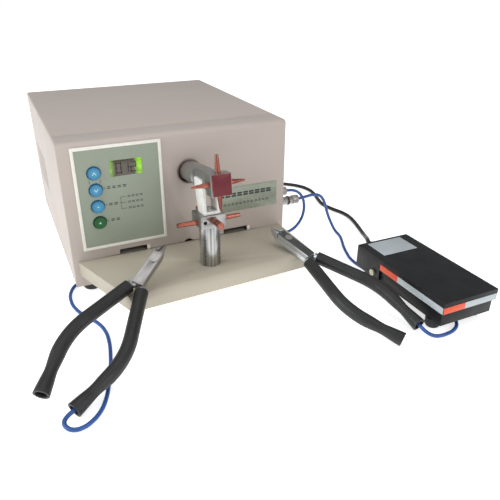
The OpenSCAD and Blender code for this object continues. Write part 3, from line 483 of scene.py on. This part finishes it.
pedal_edge = plain("pedal_paint_edge", shade_of(PEDAL, 1.6), (0.28, 0.42), blotch=(50, 0.2),
                   grain=(900, 0.02), edge=(0.045, 0.045, 0.047))
silver_film = plain("silver_film", (0.46, 0.5, 0.52), (0.36, 0.5), 0.15, (35, 0.07), (900, 0.006))
orange_film = plain("orange_film", (0.72, 0.075, 0.02), (0.35, 0.48), blotch=(60, 0.08),
                    grain=(900, 0.006))
cream_screw = plain("cream_screw", (0.5, 0.47, 0.36), (0.3, 0.45), 0.5, (120, 0.12), (900, 0.01))
sleeve = plain("grip_sleeve", (0.0125, 0.0118, 0.0112), (0.4, 0.58), blotch=(45, 0.22),
               grain=(420, 0.06), dust=(750, 0.67, 0.35, (0.06, 0.06, 0.062)))
sleeve_edge = plain("grip_sleeve_edge", (0.018, 0.0175, 0.017), (0.5, 0.7), blotch=(60, 0.2),
                    grain=(500, 0.05))


def copper_finish():
    """Drawn copper rods: patches darkened by heat, bright rubbed spots and a fine grain."""
    f = Finish("electrode_copper")
    f.shader.inputs["Metallic"].default_value = 1.0
    base = f.mixed(f.spread(f.noise(140, 4), 0, 1), (0.28, 0.088, 0.06), (0.45, 0.165, 0.118))
    burnt = f.mixed(f.spread(f.noise(60, 3), 0, 0.75, 0.5, 0.66), base, (0.15, 0.045, 0.035))
    f.paint(burnt)
    f.roughen(f.spread(f.noise(220, 4), 0.2, 0.42))
    f.emboss(f.noise(900, 3, 0.6), 0.02)
    return f.material


def column_painted_reflections_finish():
    """Chrome with long light and dark streaks up the column: painted reflections."""
    f = Finish("chrome_upright_painted_reflections")
    f.shader.inputs["Metallic"].default_value = 1.0
    streaks = f.noise(1, 2, 0.5, stretch=(230, 230, 2.5))
    # The streaks' light and dark colours are painted reflections.
    f.paint(f.mixed(f.spread(streaks, 0, 1, 0.36, 0.62), (0.2, 0.2, 0.195), (0.62, 0.62, 0.6)))
    f.roughen(f.spread(f.noise(45, 4), 0.2, 0.32))
    f.emboss(f.noise(1, 2, 0.5, stretch=(500, 500, 4)), 0.006)
    return f.material


# Where the window's light fades in at its right end and out at its left
WINDOW_LIT_RIGHT, WINDOW_LIT_LEFT = (52.5 * MM, 57.5 * MM), (29.5 * MM, 33.5 * MM)


def display_finish():
    """A lit display window: dim in the middle and bright green at its ends."""
    f = Finish("lit_window")
    f.shader.inputs["Roughness"].default_value = 0.16
    f.shader.inputs["Coat Weight"].default_value = 0.5
    split = f.node("SeparateXYZ")
    f.link(f.place, split.inputs[0])
    right = f.spread(split.outputs["X"], 0, 1, *WINDOW_LIT_RIGHT)
    left = f.spread(split.outputs["X"], 0.55, 0, *WINDOW_LIT_LEFT)
    glow = f.node("Math")
    glow.operation = "ADD"
    f.link(right, glow.inputs[0])
    f.link(left, glow.inputs[1])
    flicker = f.node("Math")
    flicker.operation = "MULTIPLY"
    f.link(glow.outputs[0], flicker.inputs[0])
    f.link(f.spread(f.noise(260, 3), 0.55, 1.25), flicker.inputs[1])
    dim = f.mixed(f.spread(f.noise(900, 2), 0, 1), (0.036, 0.028, 0.017), (0.062, 0.049, 0.027))
    lit = f.mixed(flicker.outputs[0], dim, (0.26, 0.62, 0.02))
    f.paint(lit)
    f.link(lit, f.shader.inputs["Emission Color"])
    f.shader.inputs["Emission Strength"].default_value = 0.35
    return f.material


RIM_SHADE_R = 7  # millimetres from a button's middle at which its painted rim shade is full


def button_finish(name, colour, rim, centre):
    """A moulded button cap, darker towards its rim: painted shade."""
    f = Finish(name)
    f.shader.inputs["Coat Weight"].default_value = 0.12
    shift = f.stretched((1 / (RIM_SHADE_R * MM),) * 3, centre)
    length = f.node("VectorMath")
    length.operation = "LENGTH"
    flat = f.node("VectorMath")
    flat.operation = "MULTIPLY"
    f.link(shift, flat.inputs[0])
    flat.inputs[1].default_value = (1, 0, 1)
    f.link(flat.outputs[0], length.inputs[0])
    rim_shade_share = f.spread(length.outputs["Value"], 0, 1, 0.15, 1.0)
    cloud = f.mixed(f.spread(f.noise(220, 4), 0, 1), shade_of(colour, 0.9), shade_of(colour, 1.1))
    # From the middle out, the cap darkens to the rim colour: painted shade.
    f.paint(f.mixed(rim_shade_share, cloud, rim))
    f.roughen(f.spread(f.noise(300, 4), 0.26, 0.4))
    f.emboss(f.noise(900, 2), 0.008)
    return f.material


copper = copper_finish()
chrome_column_painted_reflections = column_painted_reflections_finish()
lit_window = display_finish()
segment_dark = plain("segment_dark", (0.03, 0.018, 0.012), (0.3, 0.4), blotch=(300, 0.1),
                     grain=(900, 0.0))


# ---------- cords ----------


def route_curve(name, points, diameter, finish):
    """A round cord along a smooth curve through given points."""
    data = bpy.data.curves.new(name, "CURVE")
    data.dimensions = "3D"
    data.bevel_depth = diameter / 2 * MM
    data.bevel_resolution = 5
    data.resolution_u = 6
    data.use_fill_caps = True
    spline = data.splines.new("BEZIER")
    spline.bezier_points.add(len(points) - 1)
    for b, p in zip(spline.bezier_points, points):
        b.co = mm(*p)
        b.handle_left_type = b.handle_right_type = "AUTO"
    piece = bpy.data.objects.new(name, data)
    bpy.context.scene.collection.objects.link(piece)
    data.materials.append(finish)
    return piece


RIGHT_ROUTE = (
    (250, 6, 57), (258, 6, 57), (268, 6.2, 57.8), (279, 7, 58), (287.5, 7.7, 55.5),
    (293.8, 8.3, 49.5), (298.2, 8.8, 41), (302.2, 9.3, 30), (306, 9.4, 21), (309.3, 8.4, 13.5),
    (311.6, 6, 7.5), (312.8, 1.6, 3.6), (312.8, -5, 2.1), (310.6, -13, 2), (305.6, -24, 2),
    (299, -37.5, 2), (292.5, -54, 2), (288, -70, 2), (288.4, -90, 2), (293, -102, 2),
    (298, -123, 2), (303, -150, 2), (309, -182, 2), (311.2, -203, 2), (309.2, -215, 2),
    (303, -224.4, 2), (294, -229.6, 2), (284, -231.4, 2), (275, -231, 2.2), (270.4, -229.8, 3),
    (266.7, -227.2, 4.4), (264.4, -223.4, 6), (263.4, -219.2, 7.6), (262.9, -216, 8.5),
    (261.5, -205.6, 11.65),
)
LEFT_ROUTE = (
    (250, 36, 57), (258, 36, 57), (267, 36.4, 55.3), (275.5, 37, 50.5), (282, 38, 42),
    (285.4, 39, 31), (285.2, 39.5, 20), (281.5, 39, 10.8), (275, 37, 5), (266, 33, 2.3),
    (252, 28, 2), (228, 24.5, 2), (190, 24, 2), (145, 29, 2), (100, 33.5, 2), (60, 30, 2),
    (25, 22, 2), (-3, 13.5, 2), (-16, 6, 2), (-24, -8, 2), (-26.6, -27, 2), (-24, -45, 2),
    (-17, -62, 2), (-9.4, -77, 2), (-5.8, -93, 2), (-6, -110, 2), (-9, -130, 2), (-14, -152, 2),
    (-19.5, -171, 2), (-25, -186, 2), (-31, -196.5, 2), (-38.5, -204, 2), (-46, -207.8, 2),
    (-52.8, -207.6, 2.2), (-57.4, -203.4, 2.9), (-58.2, -198.6, 4), (-55.2, -194.9, 5.2),
    (-49.6, -192, 6.5), (-39.9, -186.5, 9.05),
)
PEDAL_ROUTE = (
    (187, 250, 46), (187, 262, 46), (187, 270, 43), (189, 279, 34), (193, 287, 20), (200, 292, 8),
    (212, 293, 3), (232, 285.5, 2.7), (265, 255, 2.7), (300, 221, 2.7), (334, 191, 2.7),
    (353, 171, 2.7), (360, 151, 2.7), (358.5, 131, 2.7), (352, 109, 2.7), (348, 88, 2.7),
    (351.5, 67, 2.7), (356.5, 50, 2.7), (357, 35, 2.7), (353.8, 19, 2.7), (349.4, 4, 2.7),
    (344.4, -11, 2.9), (338, -26, 5), (330.4, -39, 9.5), (322, -51.5, 15), (314.2, -62.5, 20.5),
    (307.6, -71.5, 24.3), (303.7, -79, 25.4), (303, -86, 25.5), (303, -94.5, 25.5),
)
# Each cord's node, route, thickness in millimetres, length in metres, stiffness and finish
CORDS = (
    ("right_lead", RIGHT_ROUTE, 3.6, 0.398, "limp", lead_blue),
    ("left_lead", LEFT_ROUTE, 3.6, 0.652, "limp", lead_blue),
    ("pedal_cord", PEDAL_ROUTE, 5.0, 0.554, "medium", cord_black),
)
for cord_name, route, thick, cord_length, kind, finish in CORDS:
    flex = route_curve(cord_name + "_flex", route, thick, finish)
    fit(flex, "cabinet", stands_for=(cord_name,))


# ---------- parts shaped from the frame's nodes ----------

refine("top_cover", 0.3, coat, coat_edge)
refine("front_panel", 0.3, coat, coat_edge)
refine("rear_panel", 0.2, coat, coat_edge)
refine("base_pan", 0.2, zinc_sheet)
refine("tray", 0.4, tray_coat, tray_edge)
refine("cabinet_feet", 0.6, rubber)
refine("panel_frame", 0.5, cream)
refine("panel_overlay", 0.0, sage)
refine("nameplate", 0.2, plate_film)
refine("arm_bush", 0.3, ring_brown)
refine("upper_arm", 0.35, chrome_arm)
refine("turret_block", 0.45, chrome_block)
refine("turret_face", 0.35, turret_red, turret_red_edge)
refine("upper_electrodes", 0.25, copper)
refine("column", 0.4, chrome_column_painted_reflections)
refine("lower_block", 0.5, chrome_block)
refine("lower_electrodes", 0.3, copper)
refine("guide_fork", 0.7, fork_white)
# The jaws' broken edges get the dark copy of the ground steel, painted shade.
for jaw in ("left_jaw_fixed", "left_jaw_moving"):
    refine(jaw, 0.4, steel_head, steel_edge_painted_shade)
# The right jaws carry a painted highlight on their sides and a painted shade on their flat tops.
right_flat = -Vector(JOINTS["right_plier_open"]["axis"])
for jaw in ("right_jaw_fixed", "right_jaw_moving"):
    flat_sides(refine(jaw, 0.4, steel_side_painted_highlight, steel_edge_painted_shade), right_flat, steel_top_painted_shade)
for side in ("left", "right"):
    plier_pivot = Vector(JOINTS[side + "_plier_open"]["pos_m"])
    for grip in (side + "_grip_fixed", side + "_grip_moving"):
        flare(refine(grip, 0.8, sleeve, sleeve_edge, segments=3), *open_end(grip, plier_pivot))
refine("pedal_base", 0.8, pedal_paint, pedal_edge)
# The lid has two rings inset in its top, level with it
lid = trued("pedal_lid", "pedal_lid_finished")
wear(lid, pedal_paint, pedal_edge)
for margin in (3.2, 0.8):
    press_face(lid, (0, 0, 1), margin)
soften(lid, 0.8, 3, 32, 1)
fit(lid, "foot_lid", stands_for=("pedal_lid",))
refine("pedal_feet", 0.8, rubber)
refine("mains_inlet", 0.3, black_gloss)
refine("fuse_holder", 0.4, black_gloss)
refine("switch_frame", 0.4, black_gloss)
refine("power_rocker", 0.4, rocker_red)
refine("cord_glands", 0.3, black_trim)
refine("post_bodies", 0.3, chrome_arm)
refine("post_caps", 0.5, post_grey)
refine("display_lens", 0.1, lit_window)

# Nodes whose own mesh stays
KEPT_NODES = (
    ("display_module", black_trim), ("circuit_boards", board), ("arm_bracket", zinc_sheet),
    ("arm_pin", zinc), ("busbars", copper), ("transformer_core", laminations),
    ("transformer_coils", winding), ("pedal_switch", black_trim), ("case_screws", zinc),
    ("arm_screw", zinc), ("column_fasteners", zinc), ("plier_rivets", steel_head),
    ("pedal_pivots", cream_screw),
)
for kept_node, finish in KEPT_NODES:
    wear(NODES[kept_node], finish)

# Coil springs: node, the joint of the lever that presses each, the end that stays
# and the share of the length that is left
SPRINGS = (
    ("arm_spring", "arm_press", (109.5, 31, 141.6), 0.74),
    ("pedal_spring", "foot_lid_press", (309, -196, 12.0), 0.8),
)
for spring_node, lever, seat, left_over in SPRINGS:
    spring = trued(spring_node, spring_node + "_coil")
    soften(spring, 0)
    fit(spring, "cabinet", spring_steel, stands_for=(spring_node,))
    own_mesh(spring)


# ---------- push buttons ----------

BUTTON_X, BUTTON_FRONT, BUTTON_BACK, BUTTON_R = 13.4, -22.0, -17.7, 6.25
FLANGE_BACK, FLANGE_R, STEM_BACK, STEM_R = -16.6, 7.8, -13.4, 2.5
MARK_BACK, MARK_FRONT = BUTTON_FRONT + 0.52, BUTTON_FRONT + 0.30
ARROW_X, ARROW_Z, ARROW_TURN, ARROW_APART = 0.35, 1.7, math.radians(32), 0.85
BUTTON_Z = (131.8, 114.7, 97.6, 80.5)
# Each button's colour and the darker colour of the painted shade at its rim.
BLUE, BLUE_RIM_SHADE = (0.045, 0.3, 0.46), (0.02, 0.16, 0.34)
GREEN, GREEN_RIM_SHADE = (0.012, 0.125, 0.03), (0.006, 0.07, 0.018)
mark_white = plain("button_mark", (0.62, 0.68, 0.66), (0.35, 0.45), blotch=(200, 0.05),
                   grain=(900, 0.0))


def push_button(index, z):
    """A dished cap with a collar, its mark, and the flange and stem behind it."""
    body = f"button_{index}"
    green = index == 4
    colour, rim = (GREEN, GREEN_RIM_SHADE) if green else (BLUE, BLUE_RIM_SHADE)
    cap_finish = button_finish(f"button_cap_{index}", colour, rim, (BUTTON_X, 0, z))
    front, back = (BUTTON_X, BUTTON_FRONT, z), (BUTTON_X, BUTTON_BACK, z)
    cap = round_bar(body + "_cap", back, front, BUTTON_R, BUTTON_R - 0.15)
    press_face(cap, (0, -1, 0), 1.1)
    press_face(cap, (0, -1, 0), 0.5, 0.45)
    soften(cap, 0.35, 3, 40)
    flange_back = (BUTTON_X, FLANGE_BACK, z)
    flange = round_bar("flange", back, flange_back, FLANGE_R)
    stem = round_bar("stem", flange_back, (BUTTON_X, STEM_BACK, z), STEM_R)
    soften(flange, 0.2)
    cap = one_piece(body + "_cap", [cap, flange, stem])
    fit(cap, body, cap_finish, stands_for=(body,))
    if index in (1, 2):
        turn = 1 if index == 1 else -1
        bars = []
        for side in (-1, 1):
            bar = slab("bar", (BUTTON_X - ARROW_X, MARK_FRONT, z - ARROW_Z),
                       (BUTTON_X + ARROW_X, MARK_BACK, z + ARROW_Z))
            alone(bar)
            bpy.ops.transform.rotate(value=turn * side * ARROW_TURN, orient_axis="Y",
                                     center_override=mm(BUTTON_X, MARK_FRONT, z))
            bpy.ops.transform.translate(value=mm(side * ARROW_APART, 0, 0))
            bpy.ops.object.transform_apply(location=True, rotation=True, scale=True)
            bars.append(bar)
        mark = one_piece(body + "_mark", bars)
    else:
        mark = round_bar(body + "_mark", (BUTTON_X, MARK_BACK, z), (BUTTON_X, MARK_FRONT, z),
                         0.9 if green else 0.7, sides=24)
    soften(mark, 0.08)
    fit(mark, body, mark_white, slot=SLOT_OF[body])


for number, height in enumerate(BUTTON_Z, 1):
    push_button(number, height)


# ---------- print on the film, the window and the plate ----------

FILM_Y = -19.6
PRINT_FRONT, PRINT_BACK = FILM_Y - 0.04, FILM_Y + 0.1


def strokes(name, boxes, y_front, y_back, body, finish, slot):
    """Flat printed bars: each is x0, z0, x1, z1."""
    bars = [slab("bar", (x0, y_front, z0), (x1, y_back, z1)) for x0, z0, x1, z1 in boxes]
    return fit(one_piece(name, bars), body, finish, slot=slot)


def double_dash(x, z, width=3.4, gap=1.55, thick=0.85):
    """Two short lines, one over the other."""
    middles = [z + side * gap / 2 for side in (-1, 1)]
    return [(x, middle - thick / 2, x + width, middle + thick / 2) for middle in middles]


marks = []
for x in (BUTTON_X - 5.2, BUTTON_X + 5.2):
    marks.append((x - 0.2, 121.2, x + 0.2, 125.4))
for x in (24.2, 29.4, 34.6, 39.8):
    marks += double_dash(x, 115.6)
for x in (24.4, 29.6):
    marks += double_dash(x, 98.2)
for x in (24.8, 30.0):
    marks += double_dash(x, 81.4)
marks += [(21.2, 115.3, 22.6, 115.9), (21.2, 97.9, 22.6, 98.5), (21.2, 81.1, 22.8, 81.7)]
marks += [(36.2, 91.3, 36.6, 104.1), (34.8, 97.6, 36.2, 98.0)]
for z in (91.5, 97.8, 103.9):
    marks.append((36.6, z - 0.2, 41.6, z + 0.2))
    for x in (43.4, 47.4, 51.6, 55.8):
        marks += double_dash(x, z, 2.9, 1.2, 0.6)
strokes("panel_print", marks, PRINT_FRONT, PRINT_BACK, "cabinet", print_ink, "black_trim")

# Seven-segment digits in the display window
SEGMENTS = {
    "a": (0, 1, 1, 1), "b": (1, 0.5, 1, 1), "c": (1, 0, 1, 0.5), "d": (0, 0, 1, 0),
    "e": (0, 0, 0, 0.5), "f": (0, 0.5, 0, 1), "g": (0, 0.5, 1, 0.5),
}
DIGITS = {"0": "abcdef", "1": "bc", "2": "abged"}


def digit_bars(text, x, z, width, height, pitch, thick):
    """The lit bars of a row of digits."""
    bars = []
    for i, letter in enumerate(text):
        for s in DIGITS[letter]:
            x0, z0, x1, z1 = SEGMENTS[s]
            left = x + i * pitch
            bars.append((left + x0 * width - thick / 2, z + z0 * height - thick / 2,
                         left + x1 * width + thick / 2, z + z1 * height + thick / 2))
    return bars


digits = digit_bars("012", 35.2, 129.0, width=4.6, height=9.6, pitch=7.2, thick=1.15)
strokes("display_digits", digits, FILM_Y - 0.05, PRINT_BACK, "cabinet", segment_dark, "black_trim")

# Two rows of plain bars on the plate
ROWS_LEFT, PLATE_PRINT_Y = 142.5, (-18.85, -18.7)
rows = [bar for i in range(9) for bar in double_dash(ROWS_LEFT + 7.1 * i, 86.2, 5.6, 2.6, 2.0)]
rows += [bar for i in range(13) for bar in double_dash(ROWS_LEFT + 4.7 * i, 75.4, 3.1, 1.4, 0.7)]
strokes("plate_print", rows, *PLATE_PRINT_Y, "cabinet", print_ink, "black_trim")


# ---------- small pieces on the cabinet ----------

POST_Z, COLLAR_W, COLLAR_R = 57, 1.8, 5.5
for tag, y in (("front", 6), ("back", 36)):
    collar = one_piece(f"post_collar_{tag}", [
        round_bar("collar", (x, y, POST_Z), (x + COLLAR_W, y, POST_Z), COLLAR_R)
        for x in (228.5, 240.6)
    ])
    soften(collar, 0.3)
    fit(collar, "cabinet", post_red, slot="post_red")

for tag, x in (("left", 59.6), ("right", 176.6)):
    tab = slab(f"slot_clip_{tag}", (x - 0.6, -18.9, 40.9), (x + 2.6, -16.0, 45.4))
    soften(tab, 0.35)
    fit(tab, "cabinet", fork_white, slot="fork_white")


# ---------- foot switch labels ----------

top_label = slab("top_label", (285.5, -129.5, 35.9), (330, -99.5, 36.18))
soften(top_label, 0.1)
fit(top_label, "foot_lid", silver_film, slot="zinc")
band_parts = (
    ("side_band_orange", (275.2, -165, 24.6), (275.6, -137, 31.4), orange_film),
    ("side_band_silver", (275.2, -229.6, 24.6), (275.6, -165, 31.4), silver_film),
    ("front_band_orange", (275.9, -230.3, 24.6), (302, -229.9, 31.4), orange_film),
    ("front_band_silver", (302, -230.3, 24.6), (342, -229.9, 31.4), silver_film),
)
for band_name, low, high, finish in band_parts:
    band = slab(band_name, low, high)
    soften(band, 0.08)
    fit(band, "foot_lid", finish, slot="turret_red" if "orange" in band_name else "zinc")


# ---------- stage ----------


def set_stage():
    """The pale floor, the room's light and three lamps."""
    bpy.ops.object.select_all(action="DESELECT")
    bpy.ops.mesh.primitive_plane_add(size=12, location=(0.1, 0.0, 0.0))
    floor = named("floor")
    pale = Finish("floor_pale")
    pale.shader.inputs["Roughness"].default_value = 0.85
    pale.paint(pale.mixed(pale.noise(3), (0.9, 0.9, 0.9), (0.93, 0.93, 0.93)))
    pale.shader.inputs["Emission Color"].default_value = (1, 1, 1, 1)
    pale.shader.inputs["Emission Strength"].default_value = 0.66
    wear(floor, pale.material)

    world = bpy.data.worlds.new("studio")
    bpy.context.scene.world = world
    world.use_nodes = True
    tree = world.node_tree
    lighting = tree.nodes["Background"]
    lighting.inputs["Color"].default_value = (0.95, 0.97, 1.0, 1)
    lighting.inputs["Strength"].default_value = 0.42
    backdrop = tree.nodes.new("ShaderNodeBackground")
    backdrop.inputs["Color"].default_value = (1, 1, 1, 1)
    seen = tree.nodes.new("ShaderNodeLightPath")
    either = tree.nodes.new("ShaderNodeMixShader")
    tree.links.new(seen.outputs["Is Camera Ray"], either.inputs[0])
    tree.links.new(lighting.outputs[0], either.inputs[1])
    tree.links.new(backdrop.outputs[0], either.inputs[2])
    tree.links.new(either.outputs[0], tree.nodes["World Output"].inputs["Surface"])

    def lamp(name, place, aim, size, power, colour=(1, 1, 1)):
        """A soft box at a place, aimed at a point."""
        data = bpy.data.lights.new(name, "AREA")
        data.shape, data.size, data.size_y = "RECTANGLE", size[0], size[1]
        data.energy, data.color = power, colour
        lamp_object = bpy.data.objects.new(name, data)
        bpy.context.scene.collection.objects.link(lamp_object)
        lamp_object.location = place
        towards = Vector(aim) - Vector(place)
        lamp_object.rotation_euler = towards.to_track_quat("-Z", "Y").to_euler()

    lamp("left_softbox", (-1.5, -0.1, 0.9), (0.05, 0.1, 0.1), (1.3, 1.2), 19, (0.93, 0.98, 1))
    lamp("top_softbox", (0.2, -0.1, 1.9), (0.12, 0.0, 0.05), (1.6, 1.6), 8.5)
    lamp("front_fill", (0.9, -1.7, 1.0), (0.12, 0.0, 0.08), (1.2, 1.0), 11)
    bpy.context.scene.view_settings.view_transform = "Standard"


set_stage()
